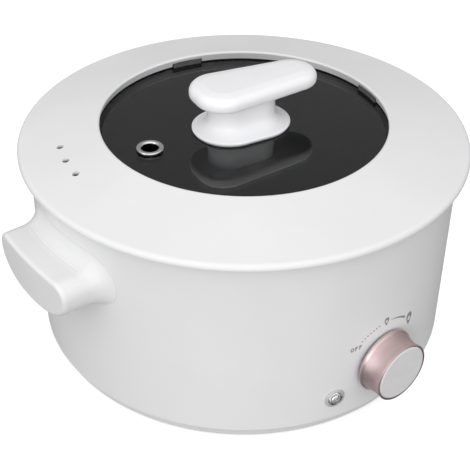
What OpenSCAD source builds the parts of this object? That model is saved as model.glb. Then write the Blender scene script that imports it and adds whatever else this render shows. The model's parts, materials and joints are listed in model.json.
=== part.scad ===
// Electric hot pot with a lift-off lid. A round housing holds a coated pot above its heater, two ear
// handles stand on its sides, and a framed glass lid lies on the pot's flange. Millimetres, Z up.
// The origin lies on the pot's axis, on the surface it stands on. The knob faces -Y, the handles
// lie along X and the power inlet faces +Y.

/* [Housing] */
// Outer radius of the housing wall
body_r = 133.4; // [128:0.2:148]
// Height of the housing wall
body_h = 119.5; // [110:0.1:140]
// Thickness of the housing wall
body_wall = 2.6; // [2:0.1:3.4]
// Thickness of the ledge that carries the pot
ledge_t = 2.8; // [2:0.1:4]
// Play between the ledge and the pot
ledge_gap = 0.8; // [0.4:0.1:1.5]
// Rounding of the housing's lower edge
body_edge = 0.8; // [0.4:0.1:1.5]

/* [Base and feet] */
// How far the base band is set in from the housing wall
base_inset = 3.4; // [2.8:0.1:6]
// Height of the base band
base_h = 7; // [6:0.1:10]
// Thickness of the base floor
base_floor = 2.5; // [2:0.1:3.5]
// Thickness of the base band
base_rim = 2.2; // [1.6:0.1:3]
// Rounding of the base band's lower edge
base_round = 1.2; // [0.5:0.1:1.8]
// Shadow gap between the housing and the base band
seam_gap = 0.3; // [0.1:0.1:1]
// Height of the screw towers above the base floor
tower_h = 8; // [6:0.5:10]
// Radius of the screw towers and bosses
boss_r = 4.6; // [4:0.1:5]
// Distance from the housing's inside to the centre of a boss
boss_in = 9; // [8:0.1:11]
// Height of the bosses in the housing
boss_h = 22; // [16:0.5:30]
// Number of air slots in the base
slot_n = 16; // [8:1:20]
// Width of an air slot
slot_w = 3; // [2:0.1:4]
// Length of an air slot
slot_l = 22; // [14:1:26]
// Radius of the ring of air slots, at their middle
slot_ring = 70; // [62:1:78]
// How far the feet stand out of the base
foot_h = 1.5; // [1:0.1:4]
// Radius of a foot
foot_r = 9; // [7:0.1:10]
// Radius of a foot's stem
foot_stem_r = 3.6; // [3:0.1:4]
// Radius of the circle that the feet stand on
foot_ring = 104; // [98:0.5:108]

/* [Pot] */
// Air space between the pot and the housing wall
pot_space = 8.1; // [7:0.1:11]
// Thickness of the pot wall
pot_wall = 2.2; // [1.8:0.1:3.5]
// Thickness of the pot floor
pot_floor = 3.5; // [2.5:0.1:5]
// How much narrower the pot is at its floor than at its mouth
pot_taper = 2.5; // [1:0.1:5]
// Rounding between the pot's wall and floor, outside
pot_corner = 18; // [12:0.5:24]
// Height of the space below the pot, from the housing's lower edge
under_h = 47.2; // [46:0.1:56]
// Thickness of the pot's flange
flange_t = 2.4; // [1.8:0.1:3]
// How far the flange is set in from the housing wall
flange_inset = 0.9; // [0.5:0.1:2]
// Thickness of the seal below the flange
pot_seal_t = 0.8; // [0.5:0.1:1.5]
// Radius of the boss below the pot's floor
pot_boss_r = 7; // [6:0.1:7.5]

/* [Heater] */
// Radius of the heat spreader
spreader_r = 86; // [80:0.5:92]
// Thickness of the heat spreader
spreader_t = 4.6; // [4.6:0.1:6]
// Radius of the heating element's ring
element_ring = 72; // [68:0.5:75]
// Radius of the heating element's tube
element_r = 4; // [3.5:0.1:4]
// Angle between the heating element's two ends
element_open = 36; // [30:1:50]
// How far the element's ends reach down
leg_drop = 13; // [11:0.5:14]
// Radius of the reflector plate
reflector_r = 94; // [92:0.5:98]
// Thickness of the reflector plate
reflector_t = 0.8; // [0.6:0.1:1.2]
// Height of the spacers that carry the reflector
spacer_h = 7.2; // [6.4:0.1:7.6]
// Radius of a spacer
spacer_r = 3.5; // [3:0.1:4]
// Radius of the circle that the spacers stand on
spacer_ring = 55; // [52:0.5:58]
// Height of the clamp bar above the housing's lower edge
bar_rise = 25.2; // [22:0.1:26]
// Width of the clamp bar
bar_w = 18; // [14:0.5:20]
// Thickness of the clamp bar
bar_t = 2; // [1.5:0.1:2.5]
// Distance of the limiter and of the fuse from the pot's axis
limiter_off = 40; // [36:0.5:44]

/* [Heat control] */
// Height of the knob's axis above the housing's lower edge
knob_rise = 32; // [28:0.1:34]
// Radius of the knob's rear edge
knob_rear_r = 20.6; // [20:0.1:23]
// Radius of the knob's front rim
knob_front_r = 18.9; // [18:0.1:19.6]
// How far the knob's side is drawn in between its ends
knob_sag = 1.1; // [0:0.1:1.5]
// Length of the knob
knob_len = 14.8; // [14:0.1:22]
// Thickness of the knob's metal skirt
skirt_wall = 1; // [0.8:0.1:1.2]
// Gap between the knob and the housing
knob_gap = 1.3; // [1:0.1:2]
// Radius of the control shaft
shaft_r = 3; // [2.5:0.1:3.2]
// Running clearance of the shaft in its bushing
shaft_play = 0.05; // [0.02:0.01:0.1]
// Turning angle of the knob between off and the strongest heat
knob_turn = 100; // [90:1:110]
// Width of the control behind the panel
control_w = 32; // [28:0.5:34]
// Depth of the control behind the panel
control_d = 18; // [15:0.5:20]
// Radius of the circle of marks round the knob
dial_r = 27.9; // [27:0.1:30]
// Angle from the knob to the indicator, round the pot's axis
lamp_turn = 14.4; // [13.5:0.1:18]
// Height of the indicator above the housing's lower edge
lamp_rise = 16.1; // [13:0.1:18]
// Outer radius of the indicator's bezel
bezel_r = 6.4; // [6.1:0.1:7.2]

/* [Power inlet] */
// Width of the inlet's flange
inlet_w = 39; // [36:0.5:42]
// Height of the inlet's flange
inlet_h = 27; // [26:0.5:30]
// Depth of the inlet's cavity
inlet_depth = 17; // [14:0.5:18]
// Width of the inlet's cavity
cavity_w = 24; // [22:0.5:25]
// Height of the inlet's cavity
cavity_h = 16; // [15:0.5:18]
// Height of the inlet's middle above the housing's lower edge
inlet_rise = 25.2; // [23:0.1:28]
// Radius of a contact pin
pin_r = 2; // [1.8:0.1:2.4]
// Distance between the two upper contact pins
pin_gap = 14; // [13:0.5:15]

/* [Ear handles] */
// Half the width of an ear
ear_half_w = 37; // [34:0.5:42]
// Reach of an ear from the housing wall
ear_reach = 22.9; // [20:0.1:27]
// How far the middle of an ear's face bows out
ear_bow = 2.2; // [0:0.1:4]
// Distance of an ear's middle below the housing's upper edge
ear_drop = 32; // [31:0.1:36]
// Height of an ear above its widest line
ear_up = 9.5; // [8.5:0.1:11]
// Depth of an ear below its widest line
ear_down = 19.4; // [18.5:0.1:24]
// Radius of the flare where an ear meets the wall
ear_flare = 10; // [7:0.1:10]
// Height of that flare above an ear, as a share of its width beside the ear
ear_lift = 1.2; // [1:0.05:1.6]
// Thickness of an ear's walls round its finger hollow
ear_wall = 4.5; // [4:0.1:5]
// Half the distance between an ear's two screws
ear_screw = 22; // [18:0.5:26]

/* [Lid frame] */
// How far the lid's rim stands out past the housing wall
rim_over = 6.6; // [5:0.1:9]
// Height of the lid's rim
rim_h = 3.8; // [3.4:0.1:6]
// Rounding of the rim's shoulder
rim_round = 3; // [2:0.1:3]
// Rise of the frame from its shoulder to the lip round the well
dome_rise = 9.4; // [9:0.1:14]
// Thickness of the lid frame
frame_t = 2.8; // [2.2:0.1:3]
// Width of the frame, from the rim to the well's foot
frame_w = 49.2; // [46:0.1:56]
// Depth of the well, from the lip to its foot
well_h = 5.8; // [5.4:0.1:6.4]
// How much the well narrows up to the lip
well_draft = 1.5; // [0.5:0.1:2]
// How far the rim hangs below the frame's seat
rim_drop = 0.8; // [0.4:0.1:1]
// Thickness of the lid's seal
lid_seal_t = 1.4; // [1.2:0.1:2.5]
// Gap between the lid's seal and the pot's flange
lid_gap = 0.1; // [0.05:0.05:0.3]
// Play between the lid's skirt and the pot
skirt_gap = 1.1; // [0.6:0.1:2]
// Thickness of the lid's skirt
skirt_t = 2; // [1.5:0.1:2.5]
// Height of the lid's skirt
skirt_h = 7.7; // [5:0.1:12]
// Turn of the frame on the pot, from the line of the handles
frame_turn = -12.7; // [-25:0.1:25]
// Radius of a steam hole in the frame
vent_r = 2.2; // [1.6:0.1:2.6]
// Distance of the steam holes from the rim
vent_in = 25.7; // [25.6:0.1:30]
// Angle between two steam holes
vent_step = 8.1; // [6:0.1:9]
// Turn of the steam holes off the line through two hooks
vent_turn = -1.3; // [-5:0.1:5]
// Thickness of the frame at the steam holes
vent_t = 1.6; // [1.2:0.1:2]

/* [Glass] */
// Thickness of the glass
glass_t = 4; // [3:0.1:5]
// Width of the glass that the frame covers
glass_hold = 4.7; // [4:0.1:5.2]
// Thickness of the gasket on the glass
gasket_t = 0.9; // [0.6:0.1:1.2]
// Thickness of the ring that holds the glass from below
retainer_t = 2.6; // [2:0.1:3]
// Width of a hook of that ring, as an angle
hook_turn = 13; // [9:0.5:16]
// Height of a hook above the glass
hook_h = 3.2; // [2.6:0.1:3.4]
// How far a hook stands into the well
hook_proud = 1.2; // [0.5:0.1:2]
// Turn of the glass and its handle on the pot, from the line of the handles
glass_turn = -9.3; // [-25:0.1:25]
// Distance of the steam grommet from the well's foot
grommet_in = 26.4; // [20:0.2:32]
// Outer radius of the grommet's rim
grommet_r = 8.35; // [7.5:0.05:9]
// Radius of the grommet's bore
grommet_bore = 5.3; // [4.5:0.1:5.6]

/* [Lid handle] */
// Half the length of the handle's foot
stem_half_l = 31.7; // [30:0.1:36]
// How far the handle's foot and neck are set towards the grip's near end
stem_shift = 2; // [0:0.1:3]
// Half the width of the handle's foot
stem_half_w = 23.1; // [21:0.1:25]
// Half the width of the handle's neck
neck_half_w = 13.4; // [11:0.1:14]
// Thickness of the foot's edge
foot_edge = 1.8; // [1.2:0.1:2.5]
// Height of the neck's flare above the foot's edge
neck_flare_h = 6.5; // [5:0.1:10]
// Height of the grip's underside above the glass
grip_rise = 22.2; // [20:0.1:28]
// Thickness of the grip at its edge
grip_t = 9.2; // [8:0.1:12]
// Rise of the grip's crown
grip_crown = 1; // [0.5:0.1:2]
// Half the width of the grip's near end
grip_near_half = 21.3; // [19:0.1:23]
// Rounding of the two corners of the grip's near end, seen from above
grip_near_round = 18; // [15:0.5:19]
// Radius of the grip's far end
grip_far_r = 15.9; // [14:0.1:18]
// Distance between the grip's widest places, at its two ends
grip_span = 46.4; // [42:0.1:52]
// How far the grip's middle is set towards its far end
grip_shift = 10.2; // [6:0.1:12]
// Rounding of the grip's edges
grip_round = 5.2; // [3:0.1:5.3]
// Thickness of the pad below the handle's foot
pad_t = 0.8; // [0.5:0.1:1.2]

/* [Hidden] */
$fn = 96;

fit = 0.1;        // play of a piece in its seat
cut = 1;          // how far a cut runs past the face that it opens
screw_r = 2;      // radius of the larger screws
head_r = 3.8;     // radius of their heads
head_h = 2.4;     // height of their heads
small_r = 1.5;    // radius of the small screws
small_head_r = 2.8;
small_head_h = 1.8;
tiny_r = 1.1;     // radius of the inlet's screws
screw_bite = 8;   // how far the larger screws bite into their boss
small_bite = 2.6; // and the small screws

// Heights, from the resting surface up
base_z = foot_h;
base_floor_z = base_z + base_floor;
body_z = base_z + base_h + seam_gap;
body_top = body_z + body_h;
tower_top = base_floor_z + tower_h;
flange_z = body_top + pot_seal_t;
flange_top = flange_z + flange_t;
pot_z = body_z + under_h;
spreader_z = pot_z - spreader_t;
element_z = spreader_z - 0.6;
leg_z = element_z - leg_drop;
reflector_top = spreader_z - spacer_h;
reflector_z = reflector_top - reflector_t;
bar_z = body_z + bar_rise;
bar_top = bar_z + bar_t;
seat_z = flange_top + lid_gap + lid_seal_t;
rim_z = seat_z - rim_drop;
shoulder_z = rim_z + rim_h;
lip_z = shoulder_z + dome_rise;
well_z = lip_z - well_h;
glass_top = well_z - gasket_t;
glass_z = glass_top - glass_t;
retainer_z = glass_z - retainer_t;
foot_z = glass_top + pad_t;
grip_z = glass_top + grip_rise;

// Radii
base_r = body_r - base_inset;
inside_r = body_r - body_wall;
boss_ring = inside_r - boss_in;
pot_r = inside_r - pot_space;
mouth_r = pot_r - pot_wall;
flange_r = body_r - flange_inset;
lid_r = body_r + rim_over;
rim_in = body_r + 0.6;
skirt_r = mouth_r - skirt_gap;
skirt_in = skirt_r - skirt_t;
well_r = lid_r - frame_w;
vent_ring = lid_r - vent_in;
glass_r = well_r + glass_hold;
grommet_off = well_r - grommet_in;
web_r = glass_r + 1.3;
hook_web = glass_r + 0.7;
hook_web_t = 2;
retainer_r = glass_r + 9;
retainer_in = well_r - 2.8;
retainer_screw_ring = glass_r + 5.6;
lip_round = 1.2;
pot_lip = 1.5;    // bevel at the pot's mouth

// Arc of a circle as points, from angle a0 to a1
function arc(cx, cy, r, a0, a1, n = 6) =
    [for (i = [0:n]) let (a = a0 + (a1 - a0) * i / n) [cx + r * cos(a), cy + r * sin(a)]];

// A turn about the pot's axis for every angle in a list
module round_axis(angles) {
    for (a = angles) rotate(a) children();
}

// A screw that points up, its head below z = 0
module screw(r, length, hr, hh) {
    translate([0, 0, -hh / 2]) cylinder(r = r, h = length + hh / 2);
    translate([0, 0, -hh]) cylinder(r = hr, h = hh);
}

// Places a piece on the front of the housing, its +Z pointing out of the wall
module on_front(turn, z) {
    rotate(turn) translate([0, -body_r, z]) rotate([90, 0, 0]) children();
}

// Places a piece on the back of the housing, its +Z pointing out of the wall
module on_back(z) {
    translate([0, body_r, z]) rotate([-90, 0, 0]) rotate(180) children();
}

// ---- housing ----

four_corners = [45, 135, 225, 315];
knob_z = body_z + knob_rise;
lamp_z = body_z + lamp_rise;
inlet_z = body_z + inlet_rise;
ear_z = body_top - ear_drop;
pad_in = 6.6;            // how far the inner pad of the control reaches in from the wall's outside
pad_r = 15;              // radius of that pad
bushing_r = 4.9;         // radius of the control's threaded bushing
spot_r = 11;             // radius of the flat that the control's nut sits on
spot_in = 0.9;           // depth of that flat
bezel_tube_r = 5.4;      // radius of the indicator's tube
inlet_in = body_r - sqrt(body_r * body_r - inlet_w * inlet_w / 4) + 0.1; // depth of the inlet's flat
inlet_body_w = cavity_w + 5;
inlet_body_h = cavity_h + 5;
inlet_back = inlet_in + inlet_depth + 3;
inlet_screw = inlet_w / 2 - 2.9;
inlet_bite = 3;
bar_screw_x = inside_r - 12;
bar_boss_h = 12;

module housing_shell() {
    ledge_r = pot_r + ledge_gap;
    rotate_extrude($fn = 180) polygon(concat(
        arc(body_r - body_edge, body_z + body_edge, body_edge, -90, 0),
        arc(body_r - 0.5, body_top - 0.5, 0.5, 0, 90, 3),
        [[ledge_r, body_top], [ledge_r, body_top - ledge_t], [inside_r - 1.5, body_top - ledge_t],
         [inside_r, body_top - ledge_t - 1.5], [inside_r, body_z]]));
}

// Boss for a base screw, joined to the wall by a rib
module body_boss() {
    bottom = tower_top + fit;
    translate([boss_ring, 0, bottom]) cylinder(r = boss_r, h = boss_h);
    translate([boss_ring, -1.5, max(bottom, body_z + 1)]) cube([boss_in + body_wall / 2, 3, boss_h - 4]);
}

// Block on the wall that the clamp bar is screwed to
module bar_boss() {
    reach = body_r - body_wall / 2 - bar_screw_x;
    translate([bar_screw_x, 0, bar_top]) cylinder(r = 6, h = bar_boss_h);
    translate([bar_screw_x, -6, bar_top]) cube([reach, 12, bar_boss_h]);
}

module housing() color("white") difference() {
    union() {
        housing_shell();
        round_axis(four_corners) body_boss();
        round_axis([0, 180]) bar_boss();
        on_front(0, knob_z) translate([0, 0, -pad_in]) cylinder(r = pad_r, h = pad_in - body_wall / 2);
        on_back(inlet_z) translate([-inlet_w / 2, -inlet_h / 2, -inlet_in - 3])
            cube([inlet_w, inlet_h, 3]);
    }
    round_axis(four_corners) translate([boss_ring, 0, tower_top - cut])
        cylinder(r = screw_r + fit, h = 14 + cut);
    round_axis([0, 180]) translate([bar_screw_x, 0, bar_top - cut]) cylinder(r = screw_r + fit, h = 9 + cut);
    on_front(0, knob_z) {
        translate([0, 0, -pad_in - cut]) cylinder(r = bushing_r + 0.2, h = pad_in + 2 * cut);
        translate([0, 0, -spot_in]) cylinder(r = spot_r, h = spot_in + cut);
    }
    on_front(-lamp_turn, lamp_z) translate([0, 0, -body_wall - 2]) cylinder(r = bezel_tube_r + fit, h = 9);
    on_back(inlet_z) {
        translate([-inlet_w / 2 - fit, -inlet_h / 2 - fit, -inlet_in])
            cube([inlet_w + 2 * fit, inlet_h + 2 * fit, inlet_in + cut]);
        translate([-inlet_body_w / 2 - fit, -inlet_body_h / 2 - fit, -inlet_in - 8])
            cube([inlet_body_w + 2 * fit, inlet_body_h + 2 * fit, 10]);
        for (s = [-1, 1]) translate([s * inlet_screw, 0, -inlet_in - inlet_bite])
            cylinder(r = tiny_r + fit, h = inlet_bite + 2);
    }
    round_axis([0, 180]) for (s = [-1, 1]) translate([inside_r - 6, s * ear_screw, ear_z])
        rotate([0, 90, 0]) cylinder(r = screw_r + fit, h = 14);
}

// ---- base and feet ----

module base_plate() color("whitesmoke") difference() {
    union() {
        rotate_extrude($fn = 180) polygon(concat(
            [[0, base_z]],
            arc(base_r - base_round, base_z + base_round, base_round, -90, 0),
            [[base_r, base_z + base_h], [base_r - 0.6, base_z + base_h],
             [base_r - 0.6, base_z + base_h + 3], [base_r - base_rim, base_z + base_h + 3],
             [base_r - base_rim, base_floor_z], [0, base_floor_z]]));
        round_axis(four_corners) translate([boss_ring, 0, base_z])
            cylinder(r = boss_r, h = base_floor + tower_h);
    }
    round_axis(four_corners) translate([boss_ring, 0, 0]) {
        cylinder(r = screw_r + fit, h = 40);
        cylinder(r = head_r + fit, h = base_floor_z + 2);
    }
    round_axis(foot_angles) translate([foot_ring, 0, 0]) cylinder(r = foot_stem_r + fit, h = 10);
    round_axis([for (i = [0:slot_n - 1]) i * 360 / slot_n])
        translate([slot_ring - slot_l / 2, -slot_w / 2, 0]) cube([slot_l, slot_w, base_floor_z + cut]);
}

foot_angles = [0, 90, 180, 270];

module feet() color("dimgray") round_axis(foot_angles) translate([foot_ring, 0, 0]) {
    cylinder(r = foot_r, h = foot_h);
    translate([0, 0, foot_h - 0.1]) cylinder(r = foot_stem_r, h = base_floor + 0.3);
    translate([0, 0, base_floor_z + fit]) cylinder(r = foot_stem_r + 1, h = 1.6);
}

module base_screws() color("silver") round_axis(four_corners)
    translate([boss_ring, 0, base_floor_z + 2]) screw(screw_r, tower_h + screw_bite, head_r, head_h);

// ---- pot ----

// Pot's outside radius at height z
function pot_side(z) = pot_r - pot_taper * (flange_z - z) / (flange_z - pot_z);

module inner_pot() color("slategray") difference() {
    low_r = pot_side(pot_z) - pot_corner;
    inner_corner = pot_corner - pot_wall;
    union() {
        rotate_extrude($fn = 180) polygon(concat(
            [[0, pot_z]],
            arc(low_r, pot_z + pot_corner, pot_corner, -90, 0, 8),
            [[pot_r, flange_z], [flange_r - 1, flange_z]],
            arc(flange_r - flange_t / 2, flange_z + flange_t / 2, flange_t / 2, -90, 90, 4),
            [[mouth_r + pot_lip, flange_top], [mouth_r, flange_top - pot_lip]],
            arc(low_r, pot_z + pot_floor + inner_corner, inner_corner, 0, -90, 8),
            [[0, pot_z + pot_floor]]));
        translate([0, 0, bar_top + fit]) cylinder(r = pot_boss_r, h = pot_z - bar_top + 0.4);
    }
    translate([0, 0, bar_top - cut]) cylinder(r = screw_r + fit, h = pot_z - bar_top - 2);
}

module pot_seal() color("gainsboro") translate([0, 0, body_top]) difference() {
    cylinder(r = flange_r - 0.4, h = pot_seal_t, $fn = 180);
    translate([0, 0, -cut]) cylinder(r = pot_r + ledge_gap + 0.4, h = pot_seal_t + 2 * cut, $fn = 180);
}

// ---- heater ----

element_ends = [90 - element_open / 2, 90 + element_open / 2];
reflector_hole = pot_boss_r + 1;
spacer_angles = [60, 180, 300];
fuse_r = 2.6;
fuse_half = 22;
fuse_z = spreader_z - fuse_r - fit;
fuse_wire_x = fuse_half + 4;
fuse_screw_y = limiter_off + 8;
limiter_r = 8;
limiter_screw = 12;

module heat_spreader() color("lightsteelblue") difference() {
    translate([0, 0, spreader_z]) cylinder(r = spreader_r, h = spreader_t);
    translate([0, 0, spreader_z - cut]) cylinder(r = reflector_hole, h = spreader_t + 2 * cut);
    rotate_extrude() translate([element_ring, element_z]) circle(r = element_r + fit, $fn = 48);
    round_axis(spacer_angles) translate([spacer_ring, 0, spreader_z - cut])
        cylinder(r = small_r + fit, h = 3 + cut);
    for (s = [-1, 1]) translate([s * limiter_screw, -limiter_off, spreader_z - cut])
        cylinder(r = small_r + fit, h = 3 + cut);
    translate([0, fuse_screw_y, spreader_z - cut]) cylinder(r = small_r + fit, h = 3 + cut);
}

module heating_element() color("dimgray") {
    rotate(element_ends[1]) rotate_extrude(angle = 360 - element_open)
        translate([element_ring, element_z]) circle(r = element_r, $fn = 48);
    round_axis(element_ends) translate([element_ring, 0, 0]) {
        translate([0, 0, element_z]) sphere(r = element_r + 0.05);
        translate([0, 0, leg_z]) cylinder(r = element_r - 0.1, h = leg_drop);
    }
}

tab_w = 6.3;
tab_t = 0.8;
tab_h = 7;
bead_h = 3;

// Ceramic bead and blade at each end of the element
module element_tabs() color("ivory") for (a = element_ends)
    translate([element_ring * cos(a), element_ring * sin(a), leg_z - bead_h]) {
        cylinder(r = element_r - 0.8, h = bead_h);
        translate([-tab_w / 2, -tab_t / 2, -tab_h]) cube([tab_w, tab_t, tab_h + 0.5]);
    }

module reflector_plate() color("silver") difference() {
    union() {
        translate([0, 0, reflector_z]) cylinder(r = reflector_r, h = reflector_t);
        translate([0, 0, reflector_z]) difference() {
            cylinder(r = reflector_r, h = 4);
            translate([0, 0, -cut]) cylinder(r = reflector_r - reflector_t, h = 4 + 2 * cut);
        }
    }
    translate([0, 0, reflector_z - cut]) linear_extrude(reflector_t + 2 * cut) {
        circle(r = reflector_hole);
        round_axis(element_ends) translate([element_ring, 0]) circle(r = element_r + 2);
        translate([0, -limiter_off]) circle(r = limiter_r + 2);
        for (s = [-1, 1]) translate([s * fuse_wire_x, limiter_off]) circle(r = 3);
        round_axis(spacer_angles) translate([spacer_ring, 0]) circle(r = small_r + fit);
    }
}

module reflector_spacers() color("white") round_axis(spacer_angles)
    translate([spacer_ring, 0, reflector_top]) difference() {
        cylinder(r = spacer_r, h = spacer_h);
        translate([0, 0, -cut]) cylinder(r = small_r + fit, h = spacer_h + 2 * cut);
    }

module reflector_screws() color("silver") round_axis(spacer_angles)
    translate([spacer_ring, 0, reflector_z]) screw(
        small_r, spacer_h + reflector_t + small_bite, small_head_r, small_head_h);

earth_x = 40;

module clamp_bar() color("gray") difference() {
    end_x = bar_screw_x + 7;
    translate([-end_x, -bar_w / 2, bar_z]) cube([2 * end_x, bar_w, bar_t]);
    for (x = [-bar_screw_x, -earth_x, 0, bar_screw_x]) translate([x, 0, bar_z - cut])
        cylinder(r = screw_r + fit, h = bar_t + 2 * cut);
}

module bar_screws() color("silver") {
    for (s = [-1, 1]) translate([s * bar_screw_x, 0, bar_z])
        screw(screw_r, bar_t + screw_bite, head_r, head_h);
    translate([-earth_x, 0, bar_z - lug_t]) screw(screw_r, bar_t + lug_t + 3, head_r, head_h);
}

module clamp_screw() color("silver") translate([0, 0, bar_z])
    screw(screw_r, bar_t + 12, head_r + 0.7, head_h + 0.6);

limiter_h = 8;
limiter_flange = 1;
limiter_tab_x = 5;
limiter_tab_w = 4;
limiter_tab_l = 6;
limiter_z = spreader_z - limiter_flange - limiter_h;

module thermostat() color("black") translate([0, -limiter_off, 0]) difference() {
    union() {
        ear = small_head_r + 0.7;
        translate([0, 0, limiter_z]) cylinder(r = limiter_r, h = limiter_h + limiter_flange);
        translate([-limiter_screw - ear, -ear, spreader_z - limiter_flange])
            cube([2 * (limiter_screw + ear), 2 * ear, limiter_flange]);
        for (s = [-1, 1]) translate([s * limiter_tab_x, 0, limiter_z]) mirror([0, 0, 1])
            translate([-limiter_tab_w / 2, -tab_t / 2, -0.5])
                cube([limiter_tab_w, tab_t, limiter_tab_l + 0.5]);
    }
    for (s = [-1, 1]) translate([s * limiter_screw, 0, limiter_z - cut])
        cylinder(r = small_r + fit, h = limiter_h + limiter_flange + 2 * cut);
}

module thermostat_screws() color("silver") for (s = [-1, 1])
    translate([s * limiter_screw, -limiter_off, spreader_z - limiter_flange])
        screw(small_r, limiter_flange + small_bite, small_head_r, small_head_h);

module thermal_fuse() color("khaki") translate([-fuse_half, limiter_off, fuse_z])
    rotate([0, 90, 0]) cylinder(r = fuse_r, h = 2 * fuse_half);

// Saddle strap over the fuse's sleeve
module fuse_clip() color("silver") difference() {
    outer = fuse_r + fit + 0.8;
    union() {
        translate([-4, limiter_off, fuse_z]) rotate([0, 90, 0]) cylinder(r = outer, h = 8);
        translate([-4, limiter_off - outer, spreader_z - 1.6])
            cube([8, fuse_screw_y + 4 - limiter_off + outer, 1.6]);
    }
    translate([-5, limiter_off, fuse_z]) rotate([0, 90, 0]) cylinder(r = fuse_r + fit, h = 10);
    translate([-5, limiter_off - 8, spreader_z]) cube([10, 20, 6]);
    translate([-5, limiter_off - fuse_r - fit, fuse_z]) cube([10, 2 * (fuse_r + fit), 6]);
    translate([0, fuse_screw_y, spreader_z - 4]) cylinder(r = small_r + fit, h = 6);
}

module fuse_screw() color("silver") translate([0, fuse_screw_y, spreader_z - 1.6])
    screw(small_r, 4.2, small_head_r, small_head_h);

// ---- heat control ----

control_h = 26;
control_tab_x = 9;
control_tab_drop = 6.8;
control_tab_l = 7;
washer_t = 0.8;
nut_t = 2.5;
control_back = pad_in + control_d;

module control_body() color("dimgray") on_front(0, knob_z) difference() {
    union() {
        translate([-control_w / 2, -control_h / 2, -control_back]) cube([control_w, control_h, control_d]);
        translate([0, 0, -pad_in - 0.1])
            cylinder(r = bushing_r, h = pad_in - spot_in + washer_t + nut_t + 0.6);
    }
    translate([0, 0, -control_back + 4]) cylinder(r = shaft_r + shaft_play, h = control_back + 10);
}

module control_tabs() color("gold") on_front(0, knob_z) for (x = [-control_tab_x, 0, control_tab_x])
    translate([x - tab_w / 2, -control_tab_drop - tab_t / 2, -control_back - control_tab_l])
        cube([tab_w, tab_t, control_tab_l]);

module control_washer() color("silver") on_front(0, knob_z) translate([0, 0, -spot_in]) difference() {
    cylinder(r = spot_r - 1, h = washer_t);
    translate([0, 0, -cut]) cylinder(r = bushing_r + fit, h = washer_t + 2 * cut);
}

module control_nut() color("silver") on_front(0, knob_z) translate([0, 0, washer_t - spot_in]) difference() {
    cylinder(r = 8, h = nut_t, $fn = 6);
    translate([0, 0, -cut]) cylinder(r = bushing_r + fit, h = nut_t + 2 * cut);
}

// The knob's outer radius at t, from 0 at its rear edge to 1 at its front rim
function knob_side(t) = knob_rear_r + (knob_front_r - knob_rear_r) * t - knob_sag * 4 * t * (1 - t);

knob_lip = 1.4;
knob_edge = 0.5;
rim_r = knob_front_r - 0.75;                      // inside of the skirt's front rim
face_r = rim_r - 0.55;                            // a groove parts the face from the rim
face_t = 1.6;
face_proud = 0.3;                                 // how far the face stands out of the rim
face_z = knob_len + face_proud - face_t;
core_z = washer_t + nut_t + 1.2 - knob_gap;       // rear end of the core, from the knob's rear edge
shaft_end = knob_gap + face_z - 0.6;

// Places a piece of the knob, turned about the shaft, its +Z pointing forward
module on_knob() {
    on_front(0, knob_z) translate([0, 0, knob_gap]) children();
}

// Shaft with a flat where the knob sits on it
module knob_shaft() color("silver") on_front(0, knob_z) difference() {
    translate([0, 0, -control_back + 4.3]) cylinder(r = shaft_r, h = control_back - 4.3 + shaft_end);
    translate([-5, shaft_r - 0.8, knob_gap + core_z + 0.5]) cube([10, 5, 30]);
}

module knob_core() color("white") on_knob() difference() {
    rotate_extrude() polygon(concat(
        [[0, core_z], [7, core_z], [7, core_z + 4]],
        [[knob_side(0.45) - skirt_wall - fit, core_z + 4]],
        [for (t = [0.5:0.1:0.8]) [knob_side(t) - skirt_wall - fit, max(core_z + 4.2, t * knob_len)]],
        [[face_r - 0.9, face_z], [0, face_z]]));
    difference() {
        translate([0, 0, core_z - cut])
            cylinder(r = shaft_r + 0.05, h = shaft_end - knob_gap - core_z + cut + 0.2);
        translate([-5, shaft_r - 0.75, core_z + 0.6]) cube([10, 5, 30]);
    }
}

// Spun metal skirt, with a small pointer notch in its rear edge
module knob_skirt() color("rosybrown") on_knob() difference() {
    rotate_extrude() polygon(concat(
        [[knob_rear_r - skirt_wall - 0.4, 0], [knob_rear_r - 0.4, 0], [knob_rear_r, 0.4],
         [knob_rear_r, knob_lip]],
        [for (i = [1:10]) let (t = 0.1 + 0.08 * i) [knob_side(t), t * knob_len]],
        arc(knob_front_r - knob_edge, knob_len - knob_edge, knob_edge, 0, 90, 4),
        [[rim_r, knob_len], [rim_r, face_z - 0.2], [knob_side(0.87) - skirt_wall, face_z - 0.2]],
        [for (i = [8:-1:1]) let (t = 0.1 + 0.08 * i) [knob_side(t) - skirt_wall, t * knob_len]]));
    rotate(-knob_turn / 2) translate([-1.1, knob_rear_r - 1.2, -cut]) cube([2.2, 4, cut + 1]);
}

module knob_face() color("lightgray") on_knob() translate([0, 0, face_z])
    rotate_extrude() polygon([[0, 0], [face_r - 0.5, 0], [face_r, 0.5], [face_r, face_t - 0.6],
                              [face_r - 0.9, face_t], [0, face_t]]);

// ---- dial marks ----

print_t = 0.12;

// Drop shape with its point up
function drop(w, h, n = 28) =
    [for (i = [0:n - 1]) let (a = 360 * i / n) [w * sin(a) * pow(sin(a / 2), 1.3), -h * cos(a) + h * 0.1]];

module flame(w, h) {
    difference() {
        polygon(drop(w, h));
        translate([0, -h * 0.12]) polygon(drop(w * 0.5, h * 0.56));
    }
    translate([0, -h * 0.42]) polygon(drop(w * 0.22, h * 0.24));
}

// The word OFF from plain strokes, h high
module off_word(h) {
    stroke = h * 0.2;
    step = h * 0.92;
    translate([-step, 0]) difference() {
        scale([0.78, 1]) circle(r = h / 2);
        scale([0.6, 1]) circle(r = h / 2 - stroke);
    }
    for (i = [0, 1]) translate([i * step - h * 0.28, -h / 2]) {
        square([stroke, h]);
        translate([0, h - stroke]) square([h * 0.58, stroke]);
        translate([0, h * 0.45]) square([h * 0.48, stroke]);
    }
}

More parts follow.
